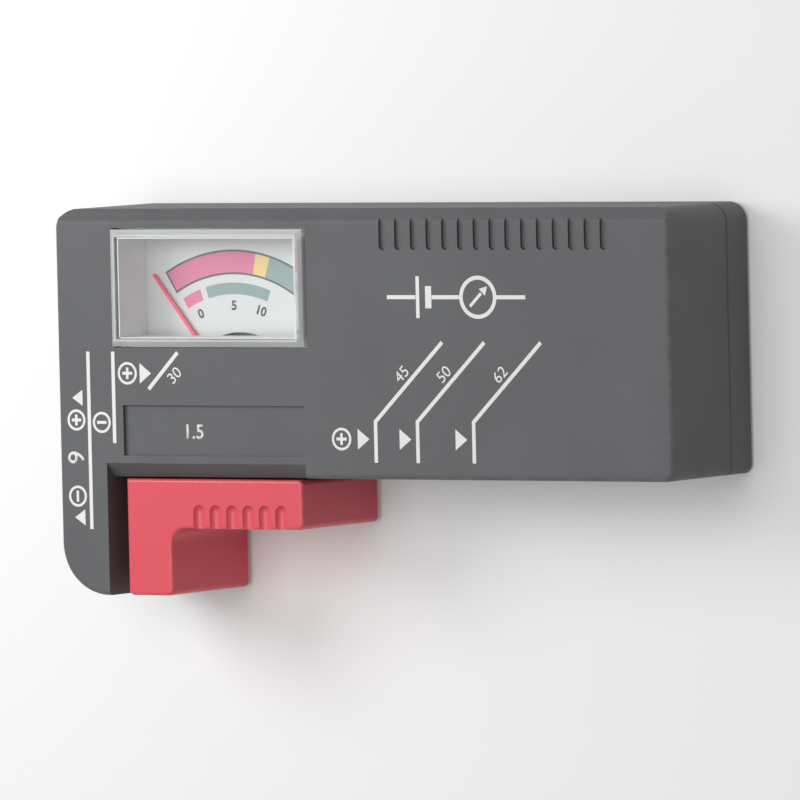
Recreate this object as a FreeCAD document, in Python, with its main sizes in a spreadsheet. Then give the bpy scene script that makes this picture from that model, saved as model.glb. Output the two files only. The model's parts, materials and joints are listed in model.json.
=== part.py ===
"""Flat battery tester: two case shells, a sliding clamp arm and a moving-coil meter.

The tester lies on its back. X runs to the right across the face, Y runs to the top edge of the
face and Z comes out of the face. The origin is at the middle of the back face. Millimetres.
"""
import FreeCAD, Part
import math
import os
import re
import Sketcher

Vector = FreeCAD.Vector

SIZES = {
    # case
    "body_w": 110.0,
    "main_h": 41.6,
    "bay_h": 18.4,
    "body_t": 25.0,
    "leg_w": 8.7,
    "wall": 2.0,
    "split_z": 7.0,
    "leg_r": 8.2,
    "corner_r": 3.0,
    "low_corner_r": 1.5,
    "face_round": 0.8,
    "back_bevel": 0.8,
    "top_bevel": 2.0,
    "relief_bevel": 2.2,
    "relief_over": 1.5,
    "lip_h": 1.2,
    "lip_gap": 0.1,
    "leg_low": 1.3,
    "seam": 0.25,
    "label_w": 62.0,
    "label_h": 22.0,
    "label_d": 0.4,
    # grip grooves along the top of the face
    "groove_count": 15,
    "groove_pitch": 2.8,
    "groove_w": 1.35,
    "groove_l": 4.4,
    "groove_d": 0.5,
    "groove_x": 59.6,
    # recessed panel below the meter window
    "panel_x": 11.9,
    "panel_w": 32.9,
    "panel_y": 3.4,
    "panel_h": 7.8,
    "panel_d": 0.6,
    # case screws
    "boss_r": 3.0,
    "boss_side": 0.6,
    "screw_r": 1.25,
    "screw_gap": 0.05,
    "screw_l": 15.0,
    "screw_pass": 0.35,
    "screw_head_r": 2.4,
    "screw_head_h": 1.8,
    "head_sink": 0.4,
    "head_gap": 0.3,
    "cross_w": 0.7,
    "cross_d": 0.8,
    # slider
    "slider_gap": 2.7,
    "finger_w": 8.1,
    "bar_l": 32.0,
    "bar_h": 7.7,
    "slide_gap": 0.3,
    "slider_inset": 1.2,
    "inner_r": 2.4,
    "slider_r": 0.9,
    "slider_edge": 0.5,
    "neck_t": 3.0,
    "neck_inset": 2.0,
    "head_w": 5.2,
    "head_t": 2.0,
    "slot_gap": 0.3,
    "slot_end": 0.7,
    "grip_count": 6,
    "grip_pitch": 2.98,
    "grip_r": 1.1,
    "grip_l": 3.8,
    "grip_x": 13.2,
    "grip_rise": 0.35,
    # contacts
    "strip_t": 0.4,
    "strip_w": 3.0,
    "plate_y": 1.5,
    "plate_h": 14.0,
    "plate_w": 11.0,
    "dome_r": 2.4,
    "dome_h": 0.8,
    "dome_round": 0.5,
    "flat_l": 6.0,
    "leaf_l": 8.0,
    "leaf_gap": 0.05,
    "wiper_rise": 1.6,
    "rail_w": 5.0,
    "rail_start": 4.0,
    "rail_stop": 10.0,
    "rib_t": 2.0,
    "rib_edge": 0.7,
    "rib_gap": 0.05,
    "rib_over": 0.5,
    "tab_w": 7.0,
    "tab_z": 1.5,
    "tab_gap": 0.3,
    "lug_x": 1.0,
    "lug_h": 8.5,
    # contacts for square cells in the left side
    "nine_y": 28.2,
    "nine_pitch": 12.7,
    "nine_z": 14.5,
    "nine_h": 7.0,
    "nine_w": 8.0,
    "nine_gap": 0.3,
    "nine_inset": 0.5,
    "nine_flange": 2.0,
    # meter cover and case
    "win_x": 10.7,
    "win_w": 34.8,
    "win_y": 3.15,
    "win_h": 18.1,
    "win_gap": 0.2,
    "win_rise": 1.5,
    "win_t": 1.2,
    "win_bevel": 0.8,
    "cover_rim": 0.9,
    "cover_gap": 0.3,
    "meter_gap": 0.4,
    "meter_wall": 1.0,
    "meter_shift": 0.9,
    "meter_lift": 0.6,
    "rim_drop": 5.2,
    "prop_r": 2.0,
    "prop_x": 12.0,
    "prop_y": 5.0,
    "terminal_r": 1.0,
    "terminal_l": 2.5,
    "terminal_x": 8.0,
    "terminal_y": 12.2,
    # dial
    "dial_t": 0.5,
    "dial_drop": 0.7,
    "dial_gap": 0.2,
    "dial_under": 3.4,
    "arch_show": 1.85,
    "dial_post_r": 1.4,
    "dial_post_x": 13.5,
    "dial_post_y": 2.0,
    "tiny_r": 0.5,
    "tiny_gap": 0.05,
    "tiny_l": 3.0,
    "tiny_head_r": 0.9,
    "tiny_head_h": 0.4,
    "tiny_slot_w": 0.3,
    # fixed magnet parts
    "yoke_r": 7.8,
    "yoke_t": 1.8,
    "yoke_gap": 0.2,
    "core_r": 4.3,
    "core_gap": 0.4,
    "spacer_w": 2.0,
    "spacer_inset": 0.5,
    # bridge and bearings
    "bridge_gap": 0.7,
    "bridge_t": 0.6,
    "bridge_w": 3.4,
    "bridge_over": 1.5,
    "post_r": 1.3,
    "post_side": 1.5,
    "bearing_r": 0.8,
    "bearing_gap": 0.02,
    "bearing_out": 0.5,
    "bearing_in": 0.15,
    "recess_d": 0.6,
    "end_play": 0.08,
    "hub_boss_r": 3.0,
    "hub_boss_h": 2.6,
    "hub_hole_r": 1.1,
    # moving coil
    "coil_w": 2.4,
    "coil_gap": 0.5,
    "coil_clear": 0.6,
    "winding_t": 0.5,
    "former_t": 0.2,
    "staff_r": 0.4,
    "staff_play": 0.04,
    "collet_r": 0.8,
    "collet_h": 0.5,
    # pointer
    "rest_angle": 37.5,
    "pointer_lift": 0.5,
    "pointer_t": 0.3,
    "pointer_root_w": 0.6,
    "pointer_tip_w": 0.45,
    "tip_gap": 0.9,
    "hub_r": 1.0,
    "hub_h": 1.2,
    "tail_l": 4.5,
    "tail_w": 2.2,
    "stop_r": 0.5,
    "stop_side": 0.9,
    "stop_gap": 0.1,
    # hairsprings
    "spring_turns": 4,
    "spring_pitch": 0.5,
    "spring_t": 0.12,
    "spring_h": 0.25,
    "spring_gap": 0.06,
    # circuit board
    "board_w": 38.0,
    "board_h": 20.0,
    "board_t": 1.6,
    "board_x": 12.0,
    "board_y": 6.0,
    "board_lift": 3.0,
    "board_post_r": 2.4,
    "board_hole": 3.0,
    "resistor_count": 3,
    "resistor_r": 1.3,
    "resistor_l": 7.0,
    "resistor_pitch": 5.5,
    "resistor_wire_r": 0.35,
    "resistor_wire_l": 1.8,
    "resistor_lift": 0.2,
    # wiring
    "lead_r": 0.45,
}

PLACES = {
    "body_h": "main_h + bay_h",
    "left": "-body_w / 2",
    "right": "body_w / 2",
    "bottom": "-body_h / 2",
    "top": "body_h / 2",
    "bay_top": "bottom + bay_h",
    "leg_in": "left + leg_w",
    "face_in": "body_t - wall",
    "floor_top": "bay_top + wall",
    "meet_z": "split_z - lip_h - lip_gap",
    "relief_end": "bar_right + relief_over",
    "groove_turn": "top - top_bevel - groove_l + groove_w / 2",
    # slider and its slot
    "slider_left": "leg_in + slider_gap",
    "finger_right": "slider_left + finger_w",
    "bar_right": "slider_left + bar_l",
    "bar_top": "bay_top - slide_gap",
    "bar_low": "bar_top - bar_h",
    "finger_low": "bottom",
    "slider_front": "body_t - slider_inset",
    "neck_right": "bar_right - neck_inset",
    "head_low": "floor_top + slide_gap",
    "head_top": "head_low + head_t",
    "head_front": "split_z + head_w / 2",
    "slot_left": "slider_left - strip_t - slot_gap",
    "slot_right": "right - wall - slot_end",
    # contacts
    "plate_low": "bottom + plate_y",
    "plate_top": "plate_low + plate_h",
    "plate_front": "split_z - strip_w / 2 + plate_w",
    "plate_back": "split_z - strip_w / 2",
    "dome_y": "plate_low + plate_h / 2",
    "dome_z": "plate_back + plate_w / 2",
    "rail_low": "head_top + wiper_rise",
    "rail_top": "rail_low + strip_t",
    "rail_left": "slider_left + rail_start",
    "rail_right": "slot_right - rail_stop",
    "tab_back": "split_z + tab_z",
    "tab_front": "tab_back + tab_w",
    "lug_right": "leg_in - wall - lug_x",
    "nine_face": "left + nine_inset",
    "nine_in": "left + wall",
    "nine_plus_y": "bottom + nine_y",
    "nine_minus_y": "nine_plus_y - nine_pitch",
    # case screw positions
    "boss_x": "right - wall - boss_r - boss_side",
    "boss_y": "top - wall - boss_r - boss_side",
    "boss_low_y": "rail_top + boss_r + boss_side",
    "leg_boss_x": "left + leg_w / 2",
    "leg_boss_y": "bottom + leg_r",
    # meter
    "win_left": "left + win_x",
    "win_right": "win_left + win_w",
    "win_top": "top - win_y",
    "win_low": "win_top - win_h",
    "win_front": "body_t + win_rise",
    "meter_x": "win_left + win_w / 2 + meter_shift",
    "cover_left": "win_left - cover_rim",
    "cover_right": "win_right + cover_rim",
    "cover_top": "win_top + cover_rim",
    "cover_low": "floor_top + meter_gap",
    "cover_front": "face_in - cover_gap",
    "cover_in": "cover_front - win_t",
    "rim_z": "face_in - rim_drop",
    "case_back": "head_front + meter_lift",
    "case_floor": "case_back + meter_wall",
    "pivot_y": "cover_low + meter_wall + yoke_gap + yoke_r",
    "dial_front": "rim_z - dial_drop",
    "dial_back": "dial_front - dial_t",
    "dial_low": "win_low - dial_under",
    "dial_arch": "win_low + arch_show - pivot_y",
    "dial_post_up": "win_low - dial_post_y",
    # movement, heights along Z
    "coil_front": "dial_back - coil_gap",
    "coil_back": "case_floor + coil_gap",
    "loop_front": "coil_front - winding_t - former_t",
    "loop_back": "coil_back + winding_t + former_t",
    "core_front": "loop_front - core_gap",
    "core_back": "loop_back + core_gap",
    "pointer_back": "dial_front + pointer_lift",
    "pointer_front": "pointer_back + pointer_t",
    "bridge_front": "cover_in - bridge_gap",
    "bridge_back": "bridge_front - bridge_t",
    "front_seat": "bridge_back - bearing_in",
    "rear_seat": "case_back + bearing_in",
    "hub_back": "case_back - hub_boss_h",
    # movement, distances from the pivot
    "yoke_in": "yoke_r - yoke_t",
    "coil_half": "yoke_in - coil_clear",
    "post_x": "yoke_r + post_side",
    "stop_at": "yoke_r + stop_side",
    "pointer_l": "win_top - win_t - tip_gap - pivot_y",
    # circuit board
    "board_right": "right - board_x",
    "board_left": "board_right - board_w",
    "board_top": "top - board_y",
    "board_low": "board_top - board_h",
    "board_back": "wall + board_lift",
    "board_front": "board_back + board_t",
    "board_mid_x": "board_left + board_w / 2",
    "board_mid_y": "board_low + board_h / 2",
}

NAME = re.compile(r"[a-z][a-z0-9_]*")

doc = FreeCAD.newDocument("battery_tester")
sheet = doc.addObject("Spreadsheet::Sheet", "sizes")
for row, (alias, size) in enumerate(SIZES.items(), 1):
    sheet.set(f"A{row}", alias)
    sheet.set(f"B{row}", str(size))
    sheet.setAlias(f"B{row}", alias)
doc.recompute()

nodes = []


def expr(text):
    """The expression with every named size or place written out as cells of the sheet."""
    def spell(match):
        word = match.group(0)
        if word in PLACES:
            return "(" + expr(PLACES[word]) + ")"
        if word in SIZES:
            return "sizes." + word
        return word
    return NAME.sub(spell, str(text))


def number(text):
    return float(sheet.evalExpression(expr(text)))


def new_body(label):
    body = doc.addObject("PartDesign::Body", label)
    body.Label = label
    nodes.append(body)
    return body


def origin_plane(body, role):
    return next(item for item in body.Origin.OriginFeatures if item.Role == role)


def new_sketch(body, plane, start):
    sketch = body.newObject("Sketcher::SketchObject", "sketch")
    sketch.AttachmentSupport = [(origin_plane(body, plane + "_Plane"), "")]
    sketch.MapMode = "FlatFace"
    # the normal of an XZ plane runs along -Y
    offset = f"-({start})" if plane == "XZ" else start
    sketch.setExpression("AttachmentOffset.Base.z", expr(offset))
    return sketch


def pin(sketch, geometry, point, place):
    """Hold a point of the sketch at a named distance from the sketch's origin."""
    for kind, text in zip(("DistanceX", "DistanceY"), place):
        index = sketch.addConstraint(Sketcher.Constraint(kind, -1, 1, geometry, point, number(text)))
        sketch.setExpression(f"Constraints[{index}]", expr(text))


def extrude(body, sketch, plane, start, end, cut):
    """Pad or pocket a sketch from start to end along the plane's axis."""
    feature = body.newObject("PartDesign::Pocket" if cut else "PartDesign::Pad", "extrusion")
    feature.Profile = sketch
    feature.setExpression("Length", expr(f"({end}) - ({start})"))
    feature.Reversed = (plane == "XZ") != cut
    return feature


def prism(body, corners, start, end, cut=False, plane="XY"):
    """Extrude a closed outline through the corners, each an (across, up) pair of expressions."""
    sketch = new_sketch(body, plane, start)
    points = [Vector(number(across), number(up), 0) for across, up in corners]
    count = len(points)
    for index, point in enumerate(points):
        sketch.addGeometry(Part.LineSegment(point, points[(index + 1) % count]))
    for index in range(count):
        sketch.addConstraint(Sketcher.Constraint("Coincident", index, 2, (index + 1) % count, 1))
    for index, corner in enumerate(corners):
        pin(sketch, index, 1, corner)
    return extrude(body, sketch, plane, start, end, cut)


def block(body, x_from, x_to, y_from, y_to, start, end, cut=False):
    corners = [(x_from, y_from), (x_to, y_from), (x_to, y_to), (x_from, y_to)]
    return prism(body, corners, start, end, cut)


def disc(body, across, up, radius, start, end, cut=False, plane="XY"):
    sketch = new_sketch(body, plane, start)
    centre = Vector(number(across), number(up), 0)
    sketch.addGeometry(Part.Circle(centre, Vector(0, 0, 1), number(radius)))
    pin(sketch, 0, 3, (across, up))
    index = sketch.addConstraint(Sketcher.Constraint("Radius", 0, number(radius)))
    sketch.setExpression(f"Constraints[{index}]", expr(radius))
    return extrude(body, sketch, plane, start, end, cut)


def rod_cut(body, across, height, radius, start, end):
    """Cut a groove along Y with a round upper end, as a rod with a round tip leaves it."""
    sketch = new_sketch(body, "XY", height)
    sketch.setExpression("AttachmentOffset.Base.x", expr(across))
    r, low, high = (number(text) for text in (radius, start, end))
    sketch.addGeometry(Part.LineSegment(Vector(0, high, 0), Vector(0, low, 0)))
    sketch.addGeometry(Part.LineSegment(Vector(0, low, 0), Vector(r, low, 0)))
    sketch.addGeometry(Part.LineSegment(Vector(r, low, 0), Vector(r, high - r, 0)))
    tip = Part.Circle(Vector(0, high - r, 0), Vector(0, 0, 1), r)
    sketch.addGeometry(Part.ArcOfCircle(tip, 0, math.pi / 2))
    for index in range(4):
        sketch.addConstraint(Sketcher.Constraint("Coincident", index, 2, (index + 1) % 4, 1))
    for index in (0, 2):
        sketch.addConstraint(Sketcher.Constraint("Vertical", index))
    sketch.addConstraint(Sketcher.Constraint("Horizontal", 3, 3, 3, 1))
    pin(sketch, 1, 1, ("0", start))
    pin(sketch, 2, 1, (radius, start))
    pin(sketch, 3, 3, ("0", f"{end} - {radius}"))
    feature = body.newObject("PartDesign::Groove", "rod_cut")
    feature.Profile = sketch
    feature.ReferenceAxis = (sketch, ["V_Axis"])
    feature.Angle = 360
    return feature


def repeat(body, feature, count, pitch):
    """Repeat a feature along its sketch's horizontal axis."""
    row_of = body.newObject("PartDesign::LinearPattern", "row")
    row_of.Originals = [feature]
    row_of.Direction = (feature.Profile[0], ["H_Axis"])
    row_of.setExpression("Length", expr(f"({count} - 1) * {pitch}"))
    row_of.setExpression("Occurrences", expr(count))
    body.Tip = row_of


def dress(body, kind, size, wanted):
    """Round the body's edges that the test picks out."""
    doc.recompute()
    base = body.Tip
    names = [f"Edge{index}" for index, edge in enumerate(base.Shape.Edges, 1) if wanted(edge)]
    feature = body.newObject("PartDesign::" + kind, "edges")
    feature.Base = (base, names)
    feature.setExpression("Size" if kind == "Chamfer" else "Radius", expr(size))


def upright_at(across, up):
    """Test for an edge along Z at one place of the outline."""
    x, y = number(across), number(up)

    def wanted(edge):
        ends = [vertex.Point for vertex in edge.Vertexes]
        return len(ends) == 2 and all(math.hypot(end.x - x, end.y - y) < 0.001 for end in ends)
    return wanted


def level_at(height, tests=()):
    """Test for an edge that lies at one height and whose middle passes each further test."""
    z = number(height)

    def wanted(edge):
        box = edge.BoundBox
        flat = abs(box.ZMin - z) < 0.001 and abs(box.ZMax - z) < 0.001
        return flat and all(test(box.Center) for test in tests)
    return wanted


def place(body, x, y, angle=None):
    body.setExpression("Placement.Base.x", expr(x))
    body.setExpression("Placement.Base.y", expr(y))
    if angle:
        body.setExpression("Placement.Rotation.Angle", expr(angle))


def group(label, members):
    """Several like solids as one node."""
    for member in members:
        nodes.remove(member)
    compound = doc.addObject("Part::Compound", label)
    compound.Label = label
    compound.Links = members
    nodes.append(compound)


# Case outline: a main block over the full width and a leg at the lower left.
OUTER = [("left", "bottom"), ("leg_in", "bottom"), ("leg_in", "bay_top"),
         ("right", "bay_top"), ("right", "top"), ("left", "top")]
CORNERS = {"leg_r": [OUTER[0]], "low_corner_r": [OUTER[3]], "corner_r": [OUTER[4], OUTER[5]]}
SCREWS = [("-(boss_x)", "boss_y"), ("boss_x", "boss_y"), ("boss_x", "boss_low_y"),
          ("leg_boss_x", "leg_boss_y")]


def inset_outline(depth):
    """The case outline moved inwards, with straight lines across its rounded corners."""
    across_leg = f"leg_r - (leg_r - ({depth})) * sqrt(0.5)"
    return [(f"left + {depth}", "bottom + leg_r"),
            (f"left + {across_leg}", f"bottom + {across_leg}"),
            (f"leg_in - ({depth})", f"bottom + leg_low * ({depth})"),
            (f"leg_in - ({depth})", f"bay_top + {depth}"),
            (f"right - ({depth})", f"bay_top + {depth}"),
            (f"right - ({depth})", "top - corner_r"),
            ("right - corner_r", f"top - ({depth})"),
            ("left + corner_r", f"top - ({depth})"),
            (f"left + {depth}", "top - corner_r")]


def shell_block(label, start, end):
    body = new_body(label)
    prism(body, OUTER, start, end)
    for radius, corners in CORNERS.items():
        for across, up in corners:
            dress(body, "Fillet", radius, upright_at(across, up))
    dress(body, "Chamfer", "seam", level_at("split_z"))
    return body


def outer_side(point):
    """Outer edges of the case, without those in the bay."""
    in_bay = point.x > number("leg_in") - 0.01 and point.y < number("bay_top") + 0.01
    return not in_bay


front = shell_block("front_shell", "split_z", "body_t")
prism(front, [("top - top_bevel", "body_t"), ("top", "body_t"), ("top", "body_t - top_bevel")],
      "left", "right", cut=True, plane="YZ")
dress(front, "Fillet", "face_round", level_at("body_t", [outer_side]))
prism(front, [("bay_top", "body_t"), ("bay_top + relief_bevel", "body_t"),
              ("bay_top", "body_t - relief_bevel")],
      "leg_in", "relief_end", cut=True, plane="YZ")
prism(front, inset_outline("wall"), "split_z", "face_in", cut=True)
prism(front, inset_outline("wall / 2"), "split_z - lip_h", "split_z")
prism(front, inset_outline("wall"), "split_z - lip_h", "split_z", cut=True)
for across, up in SCREWS:
    disc(front, across, up, "boss_r", "meet_z", "face_in")
for across, up in SCREWS:
    disc(front, across, up, "screw_r + screw_gap", "meet_z", "face_in - wall", cut=True)
block(front, "slot_left", "slot_right", "bay_top - slide_gap", "floor_top",
      "split_z - lip_h", "split_z + neck_t / 2 + slot_gap", cut=True)
block(front, "win_left - win_gap", "win_right + win_gap", "win_low - win_gap", "win_top + win_gap",
      "face_in", "body_t", cut=True)
block(front, "left + panel_x", "left + panel_x + panel_w", "bay_top + panel_y",
      "bay_top + panel_y + panel_h", "body_t - panel_d", "body_t", cut=True)
for up in ("nine_plus_y", "nine_minus_y"):
    block(front, "left", "nine_in", f"{up} - nine_h / 2", f"{up} + nine_h / 2",
          "nine_z - nine_w / 2", "nine_z + nine_w / 2", cut=True)
block(front, "leg_in - wall", "leg_in", "plate_top - strip_t - tab_gap", "plate_top + tab_gap",
      "split_z - lip_h", "tab_front + tab_gap", cut=True)
groove = block(front, "left + groove_x - groove_w / 2", "left + groove_x + groove_w / 2",
               "groove_turn", "top", "body_t - groove_d", "body_t", cut=True)
repeat(front, groove, "groove_count", "groove_pitch")
groove_end = disc(front, "left + groove_x", "groove_turn", "groove_w / 2",
                  "body_t - groove_d", "body_t", cut=True)
repeat(front, groove_end, "groove_count", "groove_pitch")

rear = shell_block("rear_shell", "0", "split_z")
dress(rear, "Chamfer", "back_bevel", level_at("0", [outer_side]))
prism(rear, inset_outline("wall"), "wall", "split_z", cut=True)
for across, up in SCREWS:
    disc(rear, across, up, "screw_head_r + head_gap + wall / 2", "wall", "meet_z")
prism(rear, inset_outline("wall / 2 - lip_gap"), "meet_z", "split_z", cut=True)
for across, up in SCREWS:
    disc(rear, across, up, "screw_r + screw_pass", "0", "meet_z", cut=True)
    disc(rear, across, up, "screw_head_r + head_gap", "0", "head_sink + screw_head_h", cut=True)
block(rear, "slot_left", "slot_right", "bay_top - slide_gap", "floor_top",
      "split_z - neck_t / 2 - slot_gap", "split_z", cut=True)
block(rear, "-label_w / 2", "label_w / 2", "bay_top + main_h / 2 - label_h / 2",
      "bay_top + main_h / 2 + label_h / 2", "0", "label_d", cut=True)
for side in ("-", "+"):
    disc(rear, f"meter_x {side} prop_x", "cover_top - prop_y", "prop_r", "wall", "case_back")
BOARD_POSTS = [("board_left + board_hole", "board_low + board_hole"),
               ("board_right - board_hole", "board_top - board_hole")]
for across, up in BOARD_POSTS:
    disc(rear, across, up, "board_post_r", "wall", "board_back")
    disc(rear, across, up, "tiny_r + tiny_gap", "wall", "board_back", cut=True)
for end in ("rail_left", "rail_right"):
    block(rear, f"{end} - rib_t / 2", f"{end} + rib_t / 2", "rail_low - rib_edge",
          "rail_top + rib_edge", "wall", "split_z + rail_w / 2 + rib_over")
block(rear, "rail_left - rib_gap", "rail_right + rib_gap", "rail_low - rib_gap", "rail_top + rib_gap",
      "split_z - rail_w / 2 - rib_gap", "split_z + rail_w / 2 + rib_over", cut=True)


def screw(label, across, up, back, shank_r, length, head_r, head_h, slot_w, slot_d, crossed):
    """A screw driven towards +Z, its head's outer face at the height named back."""
    body = new_body(label)
    disc(body, "0", "0", head_r, "0", head_h)
    disc(body, "0", "0", shank_r, head_h, f"{head_h} + {length}")
    block(body, f"-{head_r}", head_r, f"-{slot_w} / 2", f"{slot_w} / 2", "0", slot_d, cut=True)
    if crossed:
        block(body, f"-{slot_w} / 2", f"{slot_w} / 2", f"-{head_r}", head_r, "0", slot_d, cut=True)
    place(body, across, up)
    body.setExpression("Placement.Base.z", expr(back))
    return body


group("case_screws", [
    screw("case_screw", across, up, "head_sink", "screw_r", "screw_l", "screw_head_r",
          "screw_head_h", "cross_w", "cross_d", True)
    for across, up in SCREWS])

# Sliding arm: a finger that hangs in the bay, a bar with grip scallops and a T-shaped tongue.
slider = new_body("slider")
prism(slider, [("slider_left", "finger_low"), ("finger_right", "finger_low"),
               ("finger_right", "bar_low"), ("bar_right", "bar_low"),
               ("bar_right", "bar_top"), ("slider_left", "bar_top")],
      "slider_inset", "slider_front")
dress(slider, "Fillet", "inner_r", upright_at("finger_right", "bar_low"))
for across, up in (("slider_left", "finger_low"), ("finger_right", "finger_low"),
                   ("bar_right", "bar_low"), ("bar_right", "bar_top")):
    dress(slider, "Fillet", "slider_r", upright_at(across, up))
for height in ("slider_front", "slider_inset"):
    dress(slider, "Fillet", "slider_edge", level_at(height))
block(slider, "slider_left", "neck_right", "bar_top", "head_low",
      "split_z - neck_t / 2", "split_z + neck_t / 2")
block(slider, "slider_left", "neck_right", "head_low", "head_top", "split_z - head_w / 2", "head_front")
scallop = rod_cut(slider, "slider_left + grip_x", "slider_front + grip_rise", "grip_r",
                  "bar_low", "bar_low + grip_l")
repeat(slider, scallop, "grip_count", "grip_pitch")

# One stamped strip: contact plate on the finger, riser through the slot and a wiper leaf.
strip = new_body("slider_contact")
block(strip, "slider_left - strip_t", "slider_left", "plate_low", "plate_top", "plate_back", "plate_front")
block(strip, "slider_left - strip_t", "slider_left", "plate_top", "head_top + strip_t",
      "plate_back", "plate_back + strip_w")
block(strip, "slider_left", "slider_left + flat_l", "head_top", "head_top + strip_t",
      "plate_back", "plate_back + strip_w")
prism(strip, [("slider_left + flat_l", "head_top"),
              ("slider_left + flat_l + leaf_l", "rail_low - leaf_gap - strip_t"),
              ("slider_left + flat_l + leaf_l", "rail_low - leaf_gap"),
              ("slider_left + flat_l", "head_top + strip_t")],
      "plate_back", "plate_back + strip_w")
disc(strip, "dome_y", "dome_z", "dome_r", "slider_left - strip_t - dome_h", "slider_left - strip_t",
     plane="YZ")
dome_left = number("slider_left - strip_t - dome_h")
dress(strip, "Fillet", "dome_round", lambda edge: abs(edge.BoundBox.XMax - dome_left) < 0.001)

# Stamped strip on the leg, with a tab through the leg's wall to a solder lug inside.
leg_strip = new_body("negative_contact")
block(leg_strip, "leg_in", "leg_in + strip_t", "plate_low", "plate_top", "plate_back", "plate_front")
block(leg_strip, "lug_right", "leg_in", "plate_top - strip_t", "plate_top", "tab_back", "tab_front")
block(leg_strip, "lug_right - strip_t", "lug_right", "plate_top - strip_t", "plate_top - strip_t + lug_h",
      "tab_back", "tab_front")
disc(leg_strip, "dome_y", "dome_z", "dome_r", "leg_in + strip_t", "leg_in + strip_t + dome_h", plane="YZ")
dome_right = number("leg_in + strip_t + dome_h")
dress(leg_strip, "Fillet", "dome_round", lambda edge: abs(edge.BoundBox.XMin - dome_right) < 0.001)

rail = new_body("positive_rail")
block(rail, "rail_left", "rail_right", "rail_low", "rail_top", "split_z - rail_w / 2", "split_z + rail_w / 2")


def nine_volt_contact(label, up):
    """Top-hat plate held behind the side wall, its crown standing in the window."""
    body = new_body(label)
    reach = "nine_w / 2 - nine_gap"
    outside = [("nine_in", f"nine_z - {reach} - nine_flange"), ("nine_in", f"nine_z - ({reach})"),
               ("nine_face", f"nine_z - ({reach})"), ("nine_face", f"nine_z + {reach}"),
               ("nine_in", f"nine_z + {reach}"), ("nine_in", f"nine_z + {reach} + nine_flange")]
    inside = [("nine_in + strip_t", f"nine_z + {reach} + nine_flange"),
              ("nine_in + strip_t", f"nine_z + {reach} - strip_t"),
              ("nine_face + strip_t", f"nine_z + {reach} - strip_t"),
              ("nine_face + strip_t", f"nine_z - ({reach} - strip_t)"),
              ("nine_in + strip_t", f"nine_z - ({reach} - strip_t)"),
              ("nine_in + strip_t", f"nine_z - {reach} - nine_flange")]
    prism(body, outside + inside, f"{up} - nine_h / 2 + nine_gap", f"{up} + nine_h / 2 - nine_gap",
          plane="XZ")


nine_volt_contact("nine_volt_positive_contact", "nine_plus_y")
nine_volt_contact("nine_volt_negative_contact", "nine_minus_y")

# Clear cover over the whole meter; its raised part stands out through the face.
cover = new_body("meter_cover")
block(cover, "win_left", "win_right", "win_low", "win_top", "rim_z", "win_front")
dress(cover, "Chamfer", "win_bevel", level_at("win_front"))
block(cover, "cover_left", "cover_right", "cover_low", "cover_top", "rim_z", "cover_front")
block(cover, "cover_left + meter_wall", "cover_right - meter_wall", "cover_low + meter_wall",
      "cover_top - meter_wall", "rim_z", "cover_in", cut=True)
block(cover, "win_left + win_t", "win_right - win_t", "win_low + win_t", "win_top - win_t",
      "cover_in", "win_front - win_t", cut=True)

DIAL_POSTS = [(f"meter_x {side} dial_post_x", "dial_post_up") for side in ("-", "+")]
BRIDGE_POSTS = [(f"meter_x {side} post_x", "pivot_y") for side in ("-", "+")]
TERMINALS = [(f"meter_x {side} terminal_x", "pivot_y + terminal_y") for side in ("-", "+")]

cup = new_body("meter_case")
block(cup, "cover_left", "cover_right", "cover_low", "cover_top", "case_back", "rim_z")
block(cup, "cover_left + meter_wall", "cover_right - meter_wall", "cover_low + meter_wall",
      "cover_top - meter_wall", "case_floor", "rim_z", cut=True)
disc(cup, "meter_x", "pivot_y", "hub_boss_r", "hub_back", "case_back")
for across, up in DIAL_POSTS:
    disc(cup, across, up, "dial_post_r", "case_floor", "dial_back")
    disc(cup, across, up, "tiny_r + tiny_gap", "case_floor", "dial_back", cut=True)
for across, up in BRIDGE_POSTS:
    disc(cup, across, up, "post_r", "case_floor", "bridge_back")
    disc(cup, across, up, "tiny_r + tiny_gap", "case_floor", "bridge_back", cut=True)
STOP_TURN = ("(rest_angle + ((stop_r + stop_gap + pointer_root_w / 2) / stop_at) * 180 / pi)")
for side in ("-", "+"):
    disc(cup, f"meter_x {side} stop_at * sin({STOP_TURN} * 1 deg)",
         f"pivot_y + stop_at * cos({STOP_TURN} * 1 deg)", "stop_r", "case_floor", "pointer_front")
disc(cup, "meter_x", "pivot_y", "bearing_r + bearing_gap", "hub_back", "case_back", cut=True)
disc(cup, "meter_x", "pivot_y", "hub_hole_r", "case_back", "case_floor", cut=True)

terminals = []
for across, up in TERMINALS:
    post = new_body("meter_terminal")
    disc(post, across, up, "terminal_r", "case_back - terminal_l", "case_back")
    terminals.append(post)
group("meter_terminals", terminals)

dial = new_body("dial_plate")
block(dial, "cover_left + meter_wall + dial_gap", "cover_right - meter_wall - dial_gap", "dial_low",
      "cover_top - meter_wall - dial_gap", "dial_back", "dial_front")
disc(dial, "meter_x", "pivot_y", "dial_arch", "dial_back", "dial_front", cut=True)
for across, up in DIAL_POSTS:
    disc(dial, across, up, "tiny_r + tiny_gap", "dial_back", "dial_front", cut=True)


def tiny_screw(label, across, up, seat):
    """A slotted screw driven towards -Z, the underside of its head at the height named seat."""
    body = new_body(label)
    disc(body, "0", "0", "tiny_r", "-tiny_l", "0")
    disc(body, "0", "0", "tiny_head_r", "0", "tiny_head_h")
    block(body, "-tiny_head_r", "tiny_head_r", "-tiny_slot_w / 2", "tiny_slot_w / 2",
          "tiny_head_h / 2", "tiny_head_h", cut=True)
    place(body, across, up)
    body.setExpression("Placement.Base.z", expr(seat))
    return body


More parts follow.
